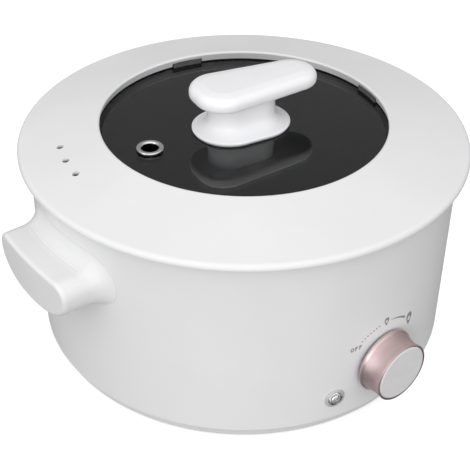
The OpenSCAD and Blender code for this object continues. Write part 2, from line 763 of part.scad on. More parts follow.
// Places a mark at an angle on the circle round the knob
module on_dial(a) {
    rotate(-a) translate([0, dial_r]) rotate(a) children();
}

module dial_marks() color("darkgray") intersection() {
    on_front(0, knob_z) translate([0, 0, -12]) linear_extrude(16) {
        on_dial(-knob_turn / 2) off_word(3);
        for (i = [0:6]) on_dial(-39 + i * 4.6) circle(r = 0.48);
        on_dial(0) flame(2.5, 3);
        polygon(concat(
            [for (a = [8:2.9:37]) (dial_r + 0.15 + 0.55 * (a - 8) / 29) * [sin(a), cos(a)]],
            [for (a = [37:-2.9:8]) (dial_r - 0.15 - 0.55 * (a - 8) / 29) * [sin(a), cos(a)]]));
        on_dial(knob_turn / 2) flame(3.4, 4.8);
    }
    difference() {
        cylinder(r = body_r + print_t, h = body_top, $fn = 180);
        translate([0, 0, -cut]) cylinder(r = body_r, h = body_top + 2 * cut, $fn = 180);
    }
}

// ---- indicator ----

bezel_bore = bezel_tube_r - 0.6;
bezel_t = 1.1;
lens_r = bezel_bore - fit;

module indicator_bezel() color("gainsboro") on_front(-lamp_turn, lamp_z) difference() {
    union() {
        translate([0, 0, fit]) rotate_extrude() polygon(concat(
            [[0, 0], [bezel_r, 0]], arc(bezel_r - bezel_t, 0, bezel_t, 15, 90), [[0, bezel_t]]));
        translate([0, 0, -8]) cylinder(r = bezel_tube_r, h = 8 + fit + 0.1);
    }
    translate([0, 0, -9]) cylinder(r = bezel_bore, h = 12);
}

// Clear lens: a raised ring round a dome, with a groove between them
module indicator_lens() color("lightyellow", 0.6) on_front(-lamp_turn, lamp_z)
rotate_extrude() polygon(concat(
    [[0, -1.2], [lens_r, -1.2], [lens_r, 0.9]],
    arc(lens_r - 0.65, 0.9, 0.65, 0, 180, 8),
    [[lens_r - 1.35, 0.7], [lens_r - 1.55, 0.7]],
    [for (a = [25:10:85]) [(lens_r - 1.6) * cos(a - 25) * 0.98, 0.4 + 1.5 * sin(a)]],
    [[0, 1.9]]));

module indicator_lamp() color("white") on_front(-lamp_turn, lamp_z) {
    translate([0, 0, -20]) cylinder(r = 2.6, h = 17);
    translate([0, 0, -3.4]) cylinder(r = lens_r, h = 2.15);
}

// ---- power inlet ----

inlet_lip = 2;
pin_drop = 3;

// The three contact places, as x and height about the inlet's middle
pin_places = [[-pin_gap / 2, pin_drop], [pin_gap / 2, pin_drop], [0, -pin_drop - 1]];

module inlet_socket() color("black") on_back(inlet_z) difference() {
    union() {
        translate([-inlet_w / 2, -inlet_h / 2, -inlet_in]) cube([inlet_w, inlet_h, inlet_lip]);
        translate([-inlet_body_w / 2, -inlet_body_h / 2, -inlet_back])
            cube([inlet_body_w, inlet_body_h, inlet_back - inlet_in + 0.5]);
    }
    translate([-cavity_w / 2, -cavity_h / 2, -inlet_in - inlet_depth])
        cube([cavity_w, cavity_h, inlet_depth + inlet_lip + cut]);
    for (p = pin_places) translate([p[0], p[1], -inlet_back - cut]) cylinder(r = pin_r + 0.05, h = 6);
    for (s = [-1, 1]) translate([s * inlet_screw, 0, -inlet_in - inlet_bite])
        cylinder(r = tiny_r + fit, h = inlet_bite + inlet_lip + cut);
}

pin_tail = 7;

module inlet_pins() color("gold") on_back(inlet_z) for (p = pin_places)
    translate([p[0], p[1], -inlet_back - pin_tail]) cylinder(r = pin_r, h = pin_tail + 3 + inlet_depth - 4);

module inlet_screws() color("silver") on_back(inlet_z) for (s = [-1, 1])
    translate([s * inlet_screw, 0, inlet_lip - inlet_in]) mirror([0, 0, 1])
        screw(tiny_r, inlet_lip + inlet_bite - 0.4, 2, 1);

// ---- internal leads ----

lead_r = 1.5;
lead_bend_r = 1.9;        // the sleeve swells a little where a lead bends
slim_bend_r = 1.56;       // and less on the lead that passes close below the bar
lead_z = base_floor_z + 6;
lug_t = 1;
tail_y = body_r - inlet_back - pin_tail;          // where the inlet's pins end
pin_z = inlet_z + pin_drop;
tab_y = -body_r + control_back + control_tab_l;   // where the control's blades end
tab_z = knob_z - control_tab_drop;
leg_x = element_ring * cos(element_ends[0]);
leg_y = element_ring * sin(element_ends[0]);
blade_z = leg_z - bead_h - tab_h / 2;
thermo_z = limiter_z - limiter_tab_l / 2;

// A lead through a list of points
module lead(points, bend_r = lead_bend_r) {
    for (i = [0:len(points) - 2]) {
        d = points[i + 1] - points[i];
        turn = [0, acos(d[2] / norm(d)), atan2(d[1], d[0])];
        translate(points[i]) rotate(turn) cylinder(r = lead_r, h = norm(d), $fn = 24);
        if (i > 0) translate(points[i]) sphere(r = bend_r, $fn = 24);
    }
}

// Runs round the right side, from the inlet to the control
module lead_live() color("firebrick") {
    ring = tail_y - 6;
    a_inlet = 90 - asin(pin_gap / 2 / ring);
    a_control = -90 + asin(control_tab_x / ring);
    turn_y = ring * sin(a_inlet);
    lead([[pin_gap / 2, tail_y, pin_z], [pin_gap / 2, turn_y, pin_z], [pin_gap / 2, turn_y, lead_z]]);
    rotate(a_control) rotate_extrude(angle = a_inlet - a_control)
        translate([ring, lead_z]) circle(r = lead_r, $fn = 24);
    for (p = [[pin_gap / 2, ring * sin(a_inlet)], [control_tab_x, ring * sin(a_control)]])
        translate([p[0], p[1], lead_z]) sphere(r = lead_bend_r, $fn = 24);
    lead([[control_tab_x, ring * sin(a_control), lead_z], [control_tab_x, ring * sin(a_control), tab_z],
          [control_tab_x, tab_y, tab_z]]);
}

module lead_neutral() color("royalblue") lead([
    [-pin_gap / 2, tail_y, pin_z], [-pin_gap / 2, tail_y - 9, pin_z], [-leg_x, tail_y - 16, pin_z],
    [-leg_x, leg_y + 15, blade_z], [-leg_x, leg_y + tab_t / 2, blade_z]]);

module lead_earth() color("olivedrab") {
    z = inlet_z - pin_drop - 1;
    difference() {
        union() {
            translate([-earth_x, 0, bar_z - lug_t]) cylinder(r = 4, h = lug_t);
            lead([[0, tail_y, z], [0, tail_y - 8, z], [0, tail_y - 8, lead_z], [-earth_x, 30, lead_z],
                  [-earth_x, 12, bar_z - 4], [-earth_x, 3.5, bar_z - 1.6]]);
        }
        translate([-earth_x, 0, bar_z - 6]) cylinder(r = screw_r + fit, h = 8);
        translate([-earth_x - 10, -10, bar_z]) cube([20, 30, 5]);
        translate([-earth_x, 0, bar_z - lug_t - 5]) cylinder(r = head_r + fit, h = 5);
    }
}

module lead_switched() color("saddlebrown") lead([
    [-control_tab_x, tab_y, tab_z], [-control_tab_x, tab_y + 9, tab_z],
    [-limiter_tab_x, -limiter_off - 20, thermo_z], [-limiter_tab_x, -limiter_off - tab_t / 2, thermo_z]]);

module lead_limiter() color("saddlebrown") lead([
    [limiter_tab_x, -limiter_off + tab_t / 2, thermo_z], [limiter_tab_x, -26, thermo_z],
    [-9, -14, bar_z - 4], [-12, 14, bar_z - 4], [-fuse_wire_x, limiter_off, reflector_z - 6],
    [-fuse_wire_x, limiter_off, fuse_z], [-fuse_half, limiter_off, fuse_z]], slim_bend_r);

module lead_fuse() color("saddlebrown") lead([
    [fuse_half, limiter_off, fuse_z], [fuse_wire_x, limiter_off, fuse_z],
    [fuse_wire_x, limiter_off, reflector_z - 6], [leg_x, leg_y - 14, blade_z],
    [leg_x, leg_y - tab_t / 2, blade_z]]);

// ---- ear handles ----

ear_bottom_n = 2.4;       // fullness of the ear's rounded underside
ear_face_x = body_r + ear_reach;

// Outline of an ear across its reach: a flat top with round corners over a full round underside
function ear_outline(a, up, down) = concat(
    arc(a - up, 0, up, 0, 90, 9),
    [for (i = [1:9]) [(a - up) * (1 - i / 5), up]],
    arc(up - a, 0, up, 90, 180, 9),
    [for (i = [1:25]) let (t = 180 + 180 * i / 26)
        [a * sign(cos(t)) * pow(abs(cos(t)), 2 / ear_bottom_n), -down * pow(abs(sin(t)), 2 / ear_bottom_n)]]);

// Growth of the outline at a distance from the wall, a quarter circle
function ear_grow(d) =
    d >= ear_flare ? 0 : ear_flare - sqrt(ear_flare * ear_flare - pow(ear_flare - max(d, 0.2), 2));

// One ring of the ear: its outline, set between the round wall and the bowed face
function ear_ring(d, inset = 0, shrink = 1) =
    let (k = d / ear_reach, g = ear_grow(d))
    [for (p = ear_outline(ear_half_w + g - inset, ear_up + ear_lift * g - inset, ear_down - inset))
        let (y = p[0] * shrink, face = ear_face_x - ear_bow * pow(y / ear_half_w, 2))
        [(1 - k) * sqrt(body_r * body_r - y * y) + k * face, y, p[1] * shrink]];

ear_steps = [-3, 0.2, 0.5, 1, 1.8, 2.8, 4, 5.5, 7.5, 10, 14];

module ear_solid() {
    edge = 2.2;
    rings = concat(
        [for (d = ear_steps) ear_ring(d)],
        [for (a = [0:22.5:90]) ear_ring(ear_reach - edge + edge * sin(a), edge * (1 - cos(a)))],
        [for (f = [0.8, 0.6, 0.4, 0.2]) ear_ring(ear_reach, edge, f)]);
    n = len(rings[0]);
    m = len(rings);
    // The ear's two closing faces are fans about a middle point
    points = concat([for (r = rings) each r], [[rings[0][0][0], 0, 0], [ear_face_x, 0, 0]]);
    polyhedron(points = points, faces = concat(
        [for (j = [0:m - 2]) for (i = [0:n - 1]) [j * n + i, (j + 1) * n + i, (j + 1) * n + (i + 1) % n]],
        [for (j = [0:m - 2]) for (i = [0:n - 1]) [j * n + i, (j + 1) * n + (i + 1) % n, j * n + (i + 1) % n]],
        [for (i = [0:n - 1]) [m * n, i, (i + 1) % n]],
        [for (i = [0:n - 1]) [m * n + 1, (m - 1) * n + (i + 1) % n, (m - 1) * n + i]]));
}

// An ear with a finger hollow from below, seated on the round wall
module ear() color("white") difference() {
    hollow_x = body_r + ear_wall + 2;
    hollow_w = ear_face_x - 0.6 * ear_bow - ear_wall - hollow_x;
    hollow_half = ear_half_w - ear_wall - 4;
    translate([0, 0, ear_z]) ear_solid();
    translate([0, 0, body_z]) cylinder(r = body_r + 0.04, h = body_top, $fn = 180);
    translate([hollow_x, -hollow_half, ear_z - 40]) cube([hollow_w, 2 * hollow_half, 40 + ear_up - ear_wall]);
    for (s = [-1, 1]) translate([body_r - 10, s * ear_screw, ear_z]) rotate([0, 90, 0])
        cylinder(r = screw_r + fit, h = 10 + ear_wall);
}

module left_handle() rotate(180) ear();

module right_handle() ear();

module handle_screws() color("silver") round_axis([0, 180]) for (s = [-1, 1]) {
    seat_x = sqrt(inside_r * inside_r - pow(ear_screw + head_r, 2));
    translate([seat_x, s * ear_screw, ear_z]) rotate([0, 90, 0])
        screw(screw_r, body_r - seat_x + 1, head_r, head_h);
}

// ---- lid ----

top_slope = dome_rise / (lid_r - rim_round - well_r + well_draft - lip_round);

// Height of the lid frame's top at a radius, and of its underside
function frame_top(r) = lip_z - (r - (well_r - well_draft + lip_round)) * top_slope;
function frame_under(r) = frame_top(r) - frame_t;

hook_angles = [for (i = [0:3]) frame_turn + 90 * i];
retainer_screw_angles = [for (a = hook_angles) a + 45];
vent_angles = [for (i = [-1:1]) frame_turn + vent_turn + 180 + i * vent_step];

// A ring sector for one hook: from r0 to r1 and z0 to z1, wider than the hook by extra degrees
module hook_sector(r0, r1, z0, z1, extra = 0) {
    half = hook_turn / 2 + extra;
    round_axis(hook_angles) rotate(-half) rotate_extrude(angle = 2 * half)
        translate([r0, z0]) square([r1 - r0, z1 - z0]);
}

module lid_frame() color("white") difference() {
    lip_in = well_r - well_draft;
    lean = atan(top_slope);
    union() {
        rotate_extrude($fn = 180) polygon(concat(
            [[well_r, well_z]],
            arc(lip_in + lip_round, lip_z - lip_round, lip_round, 180, 90 - lean, 5),
            arc(lid_r - rim_round, shoulder_z - rim_round, rim_round, 90 - lean, 0, 6),
            arc(lid_r - 0.4, rim_z + 0.4, 0.4, 0, -90, 2),
            [[rim_in, rim_z], [rim_in - rim_drop / 2, seat_z], [skirt_r, seat_z], [skirt_r, seat_z - skirt_h],
             [skirt_in, seat_z - skirt_h], [skirt_in, frame_under(skirt_in)],
             [web_r, frame_under(web_r)], [web_r, well_z]]));
        round_axis(retainer_screw_angles) translate([retainer_screw_ring, 0, glass_z]) cylinder(
            r = 2.9, h = frame_under(retainer_screw_ring) - glass_z + 1.2);
    }
    // Pockets for the hooks
    hook_sector(retainer_in, hook_web + hook_web_t + 0.3, well_z - cut, glass_top + hook_h + 0.4, 0.5);
    round_axis(retainer_screw_angles) translate([retainer_screw_ring, 0, glass_z - cut])
        cylinder(r = small_r - 0.2 + fit, h = retainer_bite + 1 + cut);
    for (a = vent_angles) rotate(a) translate([vent_ring, 0, 0]) {
        translate([0, 0, seat_z - 20]) cylinder(r = vent_r, h = 60);
        translate([0, 0, frame_under(vent_ring) - 5]) cylinder(r = vent_r + 0.6, h = 5 + frame_t - vent_t);
    }
}

retainer_bite = 5;
glass_bush = 3.4;         // radius of the pad's collar in the glass

module lid_glass() color("dimgray", 0.8) difference() {
    translate([0, 0, glass_z]) cylinder(r = glass_r, h = glass_t, $fn = 180);
    translate([0, 0, glass_z - cut]) cylinder(r = glass_bush + fit, h = glass_t + 2 * cut);
    rotate(glass_turn + 180) translate([grommet_off, 0, glass_z - cut])
        cylinder(r = grommet_bore + 1.2, h = glass_t + 2 * cut);
}

module glass_gasket() color("black") difference() {
    rotate_extrude($fn = 180) translate([well_r + 0.4, glass_top]) square([glass_hold - 0.4, gasket_t]);
    hook_sector(well_r - 2, glass_r + 2, glass_top - cut, well_z + cut, 0.5);
}

module glass_retainer() color("darkslategray") difference() {
    union() {
        rotate_extrude($fn = 180) translate([retainer_in, retainer_z])
            square([retainer_r - retainer_in, retainer_t]);
        hook_sector(hook_web, hook_web + hook_web_t, glass_z - 0.5, glass_top + hook_h);
        hook_sector(well_r - hook_proud, hook_web + 0.5, glass_top + fit, glass_top + hook_h);
    }
    round_axis(retainer_screw_angles) translate([retainer_screw_ring, 0, retainer_z - cut])
        cylinder(r = small_r - 0.2 + fit, h = retainer_t + 2 * cut);
}

module retainer_screws() color("silver") round_axis(retainer_screw_angles)
    translate([retainer_screw_ring, 0, retainer_z])
        screw(small_r - 0.2, retainer_t + retainer_bite, small_head_r, small_head_h);

module lid_seal() color("gainsboro") rotate_extrude($fn = 180) polygon([
    [skirt_r + 0.2, seat_z], [skirt_r + 0.2, seat_z - lid_seal_t - 1.2],
    [skirt_r + 0.5, seat_z - lid_seal_t - 1.2], [mouth_r + pot_lip - 0.1, seat_z - lid_seal_t],
    [flange_r - 4, seat_z - lid_seal_t], [flange_r - 3.4, seat_z]]);

module steam_grommet() color("silver") rotate(glass_turn + 180) translate([grommet_off, 0, 0])
    rotate_extrude() polygon(concat(
        [[grommet_bore, glass_z - 1.4], [grommet_bore, glass_top + 0.8]],
        arc(grommet_bore + 1.2, glass_top + 0.9, 1.2, 180, 90, 5),
        arc(grommet_r - 0.8, glass_top + 1.3, 0.8, 90, -60, 6),
        [[grommet_bore + 0.9, glass_top + 0.5], [grommet_bore + 0.9, glass_z - 0.6],
         [grommet_r - 1.2, glass_z - 0.6], [grommet_r - 1.2, glass_z - 1.4]]));

module grommet_seal() color("black") rotate(glass_turn + 180) translate([grommet_off, 0, 0]) difference() {
    union() {
        translate([0, 0, glass_top]) cylinder(r = grommet_r - 0.6, h = 0.4);
        translate([0, 0, glass_z - 0.5]) cylinder(r = grommet_r - 0.8, h = 0.5);
    }
    translate([0, 0, glass_z - 2]) cylinder(r = grommet_bore + 1.0, h = glass_t + 4);
}

// ---- lid handle ----

stem_c = stem_half_l - stem_half_w;     // distance of each end's turning axis from the middle
neck_top = grip_z + 3;
insert_r = 3.6;
insert_h = 9;

// A turned shape drawn out along X: half turns at both ends, the same section between them
module drawn_out(profile) translate([-stem_shift, 0, 0]) {
    for (s = [0, 1]) rotate(180 * s) translate([stem_c, 0, 0]) rotate(-90)
        rotate_extrude(angle = 180) polygon(profile);
    rotate([90, 0, 90]) translate([0, 0, -stem_c]) linear_extrude(2 * stem_c)
        polygon(concat(profile, [for (i = [len(profile) - 1:-1:0]) [-profile[i][0], profile[i][1]]]));
}

module lid_handle_stem() color("white") rotate(glass_turn) difference() {
    edge_z = foot_z + foot_edge;
    flare_w = stem_half_w - neck_half_w - 0.8;
    drawn_out(concat(
        [[0, foot_z], [stem_half_w - 0.5, foot_z], [stem_half_w, foot_z + 0.5], [stem_half_w, edge_z - 0.5]],
        [[stem_half_w - 0.8, edge_z]],
        [for (a = [82.5:-7.5:0])
            [neck_half_w + flare_w * (1 - cos(a)), edge_z + neck_flare_h * (1 - sin(a))]],
        [[neck_half_w, neck_top], [0, neck_top]]));
    translate([0, 0, foot_z - cut]) cylinder(r = insert_r + fit, h = insert_h + cut);
}

module lid_handle_insert() color("gold") translate([0, 0, foot_z + 0.2]) difference() {
    cylinder(r = insert_r, h = insert_h - 0.4);
    translate([0, 0, -cut]) cylinder(r = screw_r + fit, h = insert_h + 2 * cut);
}

// One round corner of the grip: a turned disc with round edges and a crown
module grip_end(r) {
    rotate_extrude($fn = 40) polygon(concat(
        [[0, 0]],
        arc(r - grip_round / 2, grip_round / 2, grip_round / 2, -90, 0, 4),
        arc(r - grip_round, grip_t - grip_round, grip_round, 0, 80, 6),
        [[r * 0.5, grip_t + grip_crown * 0.75], [0, grip_t + grip_crown]]));
}

module lid_handle_grip() color("white") rotate(glass_turn) difference() {
    near_x = grip_shift - grip_span / 2 - grip_near_half + grip_near_round;
    hull() {
        for (s = [-1, 1]) translate([near_x, s * (grip_near_half - grip_near_round), grip_z])
            grip_end(grip_near_round);
        translate([grip_shift + grip_span / 2, 0, grip_z]) grip_end(grip_far_r);
    }
    pocket_w = neck_half_w + fit;
    drawn_out([[0, grip_z - cut], [pocket_w, grip_z - cut], [pocket_w, neck_top + fit], [0, neck_top + fit]]);
}

module lid_handle_pad() color("gainsboro") rotate(glass_turn) difference() {
    union() {
        drawn_out([[0, glass_top], [stem_half_w - 0.8, glass_top], [stem_half_w - 0.8, foot_z], [0, foot_z]]);
        translate([0, 0, glass_z]) cylinder(r = glass_bush, h = glass_t + 0.1);
    }
    translate([0, 0, glass_z - cut]) cylinder(r = screw_r + fit, h = glass_t + pad_t + 2 * cut);
}

module lid_handle_washer() color("silver") translate([0, 0, glass_z - 1.2]) difference() {
    cylinder(r = 9, h = 1.2);
    translate([0, 0, -cut]) cylinder(r = screw_r + fit, h = 1.2 + 2 * cut);
}

module lid_handle_screw() color("silver") translate([0, 0, glass_z - 1.2])
    screw(screw_r, glass_t + pad_t + 1.2 + insert_h - 1, head_r, head_h);

housing();
base_plate();
feet();
base_screws();
inner_pot();
pot_seal();
heat_spreader();
heating_element();
element_tabs();
reflector_plate();
reflector_spacers();
reflector_screws();
clamp_bar();
bar_screws();
clamp_screw();
thermostat();
thermostat_screws();
thermal_fuse();
fuse_clip();
fuse_screw();
control_body();
control_tabs();
control_washer();
control_nut();
indicator_bezel();
indicator_lens();
indicator_lamp();
inlet_socket();
inlet_pins();
inlet_screws();
lead_live();
lead_neutral();
lead_earth();
lead_switched();
lead_limiter();
lead_fuse();
left_handle();
right_handle();
handle_screws();
dial_marks();
knob_shaft();
knob_core();
knob_skirt();
knob_face();
lid_frame();
lid_glass();
glass_gasket();
glass_retainer();
retainer_screws();
lid_seal();
steam_grommet();
grommet_seal();
lid_handle_stem();
lid_handle_grip();
lid_handle_pad();
lid_handle_insert();
lid_handle_washer();
lid_handle_screw();
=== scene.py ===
import json
import math
import bmesh
import bpy
from mathutils import Matrix, Vector

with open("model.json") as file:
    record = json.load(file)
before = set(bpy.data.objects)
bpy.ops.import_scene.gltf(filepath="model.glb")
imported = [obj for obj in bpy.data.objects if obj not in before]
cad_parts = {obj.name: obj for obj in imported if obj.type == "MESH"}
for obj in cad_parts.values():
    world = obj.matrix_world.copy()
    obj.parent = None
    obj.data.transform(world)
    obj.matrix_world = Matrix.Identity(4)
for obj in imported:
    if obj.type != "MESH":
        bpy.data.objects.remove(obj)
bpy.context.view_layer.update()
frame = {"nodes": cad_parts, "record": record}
scene = bpy.context.scene
print("frame loaded,", len(frame["nodes"]), "nodes")


def linearOf(hexText):
    # sRGB hex to the linear numbers that the shader wants
    steps = [int(hexText[i:i + 2], 16) / 255 for i in (1, 3, 5)]
    return tuple(c / 12.92 if c <= 0.04045 else ((c + 0.055) / 1.055) ** 2.4 for c in steps) + (1.0,)


def addNode(tree, kind, settings=None, inputs=None):
    # adds one node, sets it, and links each input that is given as a socket
    made = tree.nodes.new(kind)
    for name, value in (settings or {}).items():
        setattr(made, name, value)
    for name, value in (inputs or {}).items():
        if isinstance(value, bpy.types.NodeSocket):
            tree.links.new(value, made.inputs[name])
        else:
            made.inputs[name].default_value = value
    return made


def perMm(size):
    # pattern scale for a feature of this size in millimetres, on object coordinates in metres
    return 1000.0 / size


def blank(name, sockets):
    # a material with one shader, whose plain values go straight on its sockets
    made = bpy.data.materials.new(name)
    made.use_nodes = True
    tree = made.node_tree
    tree.nodes.clear()
    shader = addNode(tree, "ShaderNodeBsdfPrincipled", None, sockets)
    addNode(tree, "ShaderNodeOutputMaterial", None, {"Surface": shader.outputs["BSDF"]})
    return made, tree, shader


def objectPlace(tree):
    return addNode(tree, "ShaderNodeTexCoord").outputs["Object"]


def stretchedPlace(tree, place, stretch):
    mapped = addNode(tree, "ShaderNodeMapping", None, {"Vector": place, "Scale": stretch})
    return mapped.outputs["Vector"]


def noiseOf(tree, place, sizeMm, detail):
    # noise with features of about this size
    noise = addNode(tree, "ShaderNodeTexNoise", None,
                    {"Vector": place, "Scale": perMm(sizeMm), "Detail": detail})
    return noise.outputs["Fac"]


def toneOf(tree, value, low, high, span=(0.0, 1.0)):
    # one colour where the value is low, the other where it is high
    ramp = addNode(tree, "ShaderNodeValToRGB", None, {"Fac": value})
    stops = ramp.color_ramp.elements
    stops[0].position, stops[1].position = span
    stops[0].color, stops[1].color = linearOf(low), linearOf(high)
    return ramp.outputs["Color"]


def rangeOf(tree, value, result, span=(0.0, 1.0)):
    # carries a value from its span to the result's two ends
    carried = addNode(tree, "ShaderNodeMapRange", None,
                      {"Value": value, "From Min": span[0], "From Max": span[1],
                       "To Min": result[0], "To Max": result[1]})
    return carried.outputs["Result"]


def bumpOf(tree, height, deepMm, under=None):
    # a bump of this depth, on top of another one where that is given
    inputs = {"Height": height, "Distance": deepMm / 1000, "Strength": 1.0}
    if under is not None:
        inputs["Normal"] = under
    return addNode(tree, "ShaderNodeBump", None, inputs).outputs["Normal"]


def drive(tree, shader, **sources):
    # links what drives the shader's colour, roughness and normal
    sockets = {"colour": "Base Color", "rough": "Roughness", "normal": "Normal"}
    for name, source in sources.items():
        tree.links.new(source, shader.inputs[sockets[name]])


def aroundRough(look, way=1):
    # the roughness with its play, from low to high, or turned round
    return look["rough"] - way * look["roughPlay"], look["rough"] + way * look["roughPlay"]


# what all moulded plastics share unless they say otherwise
plasticLook = {"ior": 1.5, "coat": 0.0, "coatRough": 0.12, "flowSpan": (0.3, 0.7), "flowDetail": 3.0,
               "grainDetail": 2.0, "waveDetail": 1.0}
# what all worked metals share
metalLook = {"lineDetail": 4.0, "patchDetail": 3.0, "toneSpan": (0.35, 0.95)}


def mouldedPlastic(name, own):
    # injection-moulded: even colour with faint flow streaks, a spark-eroded grain, slight waviness
    look = {**plasticLook, **own}
    made, tree, shader = blank(name, {"IOR": look["ior"], "Coat Weight": look["coat"],
                                      "Coat Roughness": look["coatRough"]})
    place = objectPlace(tree)
    flow = noiseOf(tree, place, look["flowMm"], look["flowDetail"])
    grain = noiseOf(tree, place, look["grainMm"], look["grainDetail"])
    wave = noiseOf(tree, place, look["waveMm"], look["waveDetail"])
    fine = bumpOf(tree, grain, look["grainDeepMm"])
    drive(tree, shader,
          colour=toneOf(tree, flow, look["deep"], look["colour"], look["flowSpan"]),
          rough=rangeOf(tree, flow, aroundRough(look), look["flowSpan"]),
          normal=bumpOf(tree, wave, look["waveDeepMm"], fine))
    return made


def workedMetal(name, own):
    # bare or plated metal: tone and roughness vary in patches and along the lines the tool left
    look = {**metalLook, **own}
    made, tree, shader = blank(name, {"Metallic": 1.0})
    place = objectPlace(tree)
    lines = noiseOf(tree, stretchedPlace(tree, place, look["stretch"]), look["lineMm"],
                    look["lineDetail"])
    patch = noiseOf(tree, place, look["patchMm"], look["patchDetail"])
    both = addNode(tree, "ShaderNodeMath", {"operation": "MULTIPLY_ADD"},
                   {0: patch, 1: look["patchShare"], 2: lines}).outputs["Value"]
    drive(tree, shader,
          colour=toneOf(tree, both, look["deep"], look["colour"], look["toneSpan"]),
          rough=rangeOf(tree, both, aroundRough(look, -1), look["toneSpan"]),
          normal=bumpOf(tree, lines, look["lineDeepMm"]))
    return made


# white polypropylene, injection-moulded with a fine satin grain: soft wide highlights
satinPolypropylene = mouldedPlastic("satinPolypropylene", {
    "colour": "#f3f3f4", "deep": "#f0f0f1", "flowMm": 45, "rough": 0.42, "roughPlay": 0.03,
    "grainMm": 0.5, "grainDeepMm": 0.006, "waveMm": 14, "waveDeepMm": 0.02})
# the same plastic moulded in a polished tool, a little smoother, on the lid's handle: its white is
# painted a little brighter, a painted highlight for the light the handle's top catches
paintedLitPolypropylene = mouldedPlastic("paintedLitPolypropylene", {
    "colour": "#fdfdff", "deep": "#fafafc", "flowMm": 25, "rough": 0.38, "roughPlay": 0.03,
    "grainMm": 0.5, "grainDeepMm": 0.004, "waveMm": 12, "waveDeepMm": 0.01})
# the same plastic from a blasted mould, as base plates have it: duller, and its colour painted a
# little darker, painted shade for the band tucked under the housing
dullShadedPolypropylene = mouldedPlastic("dullShadedPolypropylene", {
    "colour": "#e6e6e8", "deep": "#e2e2e4", "flowMm": 30, "rough": 0.55, "roughPlay": 0.04,
    "grainMm": 0.8, "grainDeepMm": 0.015, "waveMm": 18, "waveDeepMm": 0.02})
# phenolic resin, compression-moulded: black with a slight brown tone and a dull skin
phenolicResin = mouldedPlastic("phenolicResin", {
    "colour": "#1c1a19", "deep": "#151312", "flowMm": 9, "rough": 0.5, "roughPlay": 0.08,
    "grainMm": 0.4, "grainDeepMm": 0.01, "waveMm": 6, "waveDeepMm": 0.02, "ior": 1.6})
# glass-filled nylon, injection-moulded: dark, with the filler's faint streaks
filledNylon = mouldedPlastic("filledNylon", {
    "colour": "#686868", "deep": "#5a5a5a", "flowMm": 5, "rough": 0.48, "roughPlay": 0.06,
    "grainMm": 0.5, "grainDeepMm": 0.012, "waveMm": 8, "waveDeepMm": 0.02, "ior": 1.53})
# vulcanised rubber, moulded and tumbled: black and quite matt
mouldedRubber = mouldedPlastic("mouldedRubber", {
    "colour": "#252526", "deep": "#1b1b1c", "flowMm": 7, "rough": 0.75, "roughPlay": 0.05,
    "grainMm": 0.35, "grainDeepMm": 0.02, "waveMm": 5, "waveDeepMm": 0.02, "ior": 1.52})
# heat-resistant ABS with a silver-grey pigment, moulded glossy: the ring round the indicator
silverAbs = mouldedPlastic("silverAbs", {
    "colour": "#c9cacc", "deep": "#bcbdc0", "flowMm": 4, "rough": 0.22, "roughPlay": 0.04,
    "grainMm": 0.3, "grainDeepMm": 0.002, "waveMm": 5, "waveDeepMm": 0.006, "ior": 1.54,
    "coat": 0.3})
# light grey ABS with a fine satin grain: the knob's face
greyAbs = mouldedPlastic("greyAbs", {
    "colour": "#ececec", "deep": "#e7e7e7", "flowMm": 8, "rough": 0.4, "roughPlay": 0.04,
    "grainMm": 0.4, "grainDeepMm": 0.006, "waveMm": 9, "waveDeepMm": 0.01})

# low-carbon steel, zinc-plated and passivated: bluish grey with cloudy patches
zincSteel = workedMetal("zincSteel", {
    "colour": "#b9bcc0", "deep": "#8f9398", "stretch": (1, 1, 1), "lineMm": 0.8, "patchMm": 5,
    "patchShare": 0.5, "rough": 0.34, "roughPlay": 0.08, "lineDeepMm": 0.006})
# stainless steel, deep-drawn and buffed bright: the steam grommet
buffedStainless = workedMetal("buffedStainless", {
    "colour": "#e4e4e4", "deep": "#cfcfd0", "stretch": (1, 1, 0.2), "lineMm": 0.5, "patchMm": 6,
    "patchShare": 0.5, "rough": 0.13, "roughPlay": 0.04, "lineDeepMm": 0.001})
# aluminium, pressure die-cast: grey, with flow marks and a fine pitted skin
diecastAluminium = workedMetal("diecastAluminium", {
    "colour": "#b4b4b2", "deep": "#8c8c8b", "stretch": (1, 1, 1), "lineMm": 1.2, "patchMm": 12,
    "patchShare": 0.6, "rough": 0.5, "roughPlay": 0.08, "lineDeepMm": 0.03})
# stainless heater tube, bent and annealed: browned by the heat
annealedTube = workedMetal("annealedTube", {
    "colour": "#7b746a", "deep": "#4b4640", "stretch": (1, 1, 1), "lineMm": 1.0, "patchMm": 9,
    "patchShare": 0.8, "rough": 0.45, "roughPlay": 0.08, "lineDeepMm": 0.01})
# hot-dip aluminised sheet, rolled and pressed: bright, with rolling lines one way
rolledAluminised = workedMetal("rolledAluminised", {
    "colour": "#cfd0d1", "deep": "#aeb0b2", "stretch": (0.08, 1, 1), "lineMm": 0.7, "patchMm": 14,
    "patchShare": 0.4, "rough": 0.3, "roughPlay": 0.06, "lineDeepMm": 0.006})
# brass, turned from bar: warm yellow with fine rings
turnedBrass = workedMetal("turnedBrass", {
    "colour": "#d2b169", "deep": "#a98743", "stretch": (0.2, 1, 0.2), "lineMm": 0.35, "patchMm": 4,
    "patchShare": 0.4, "rough": 0.27, "roughPlay": 0.06, "lineDeepMm": 0.004})


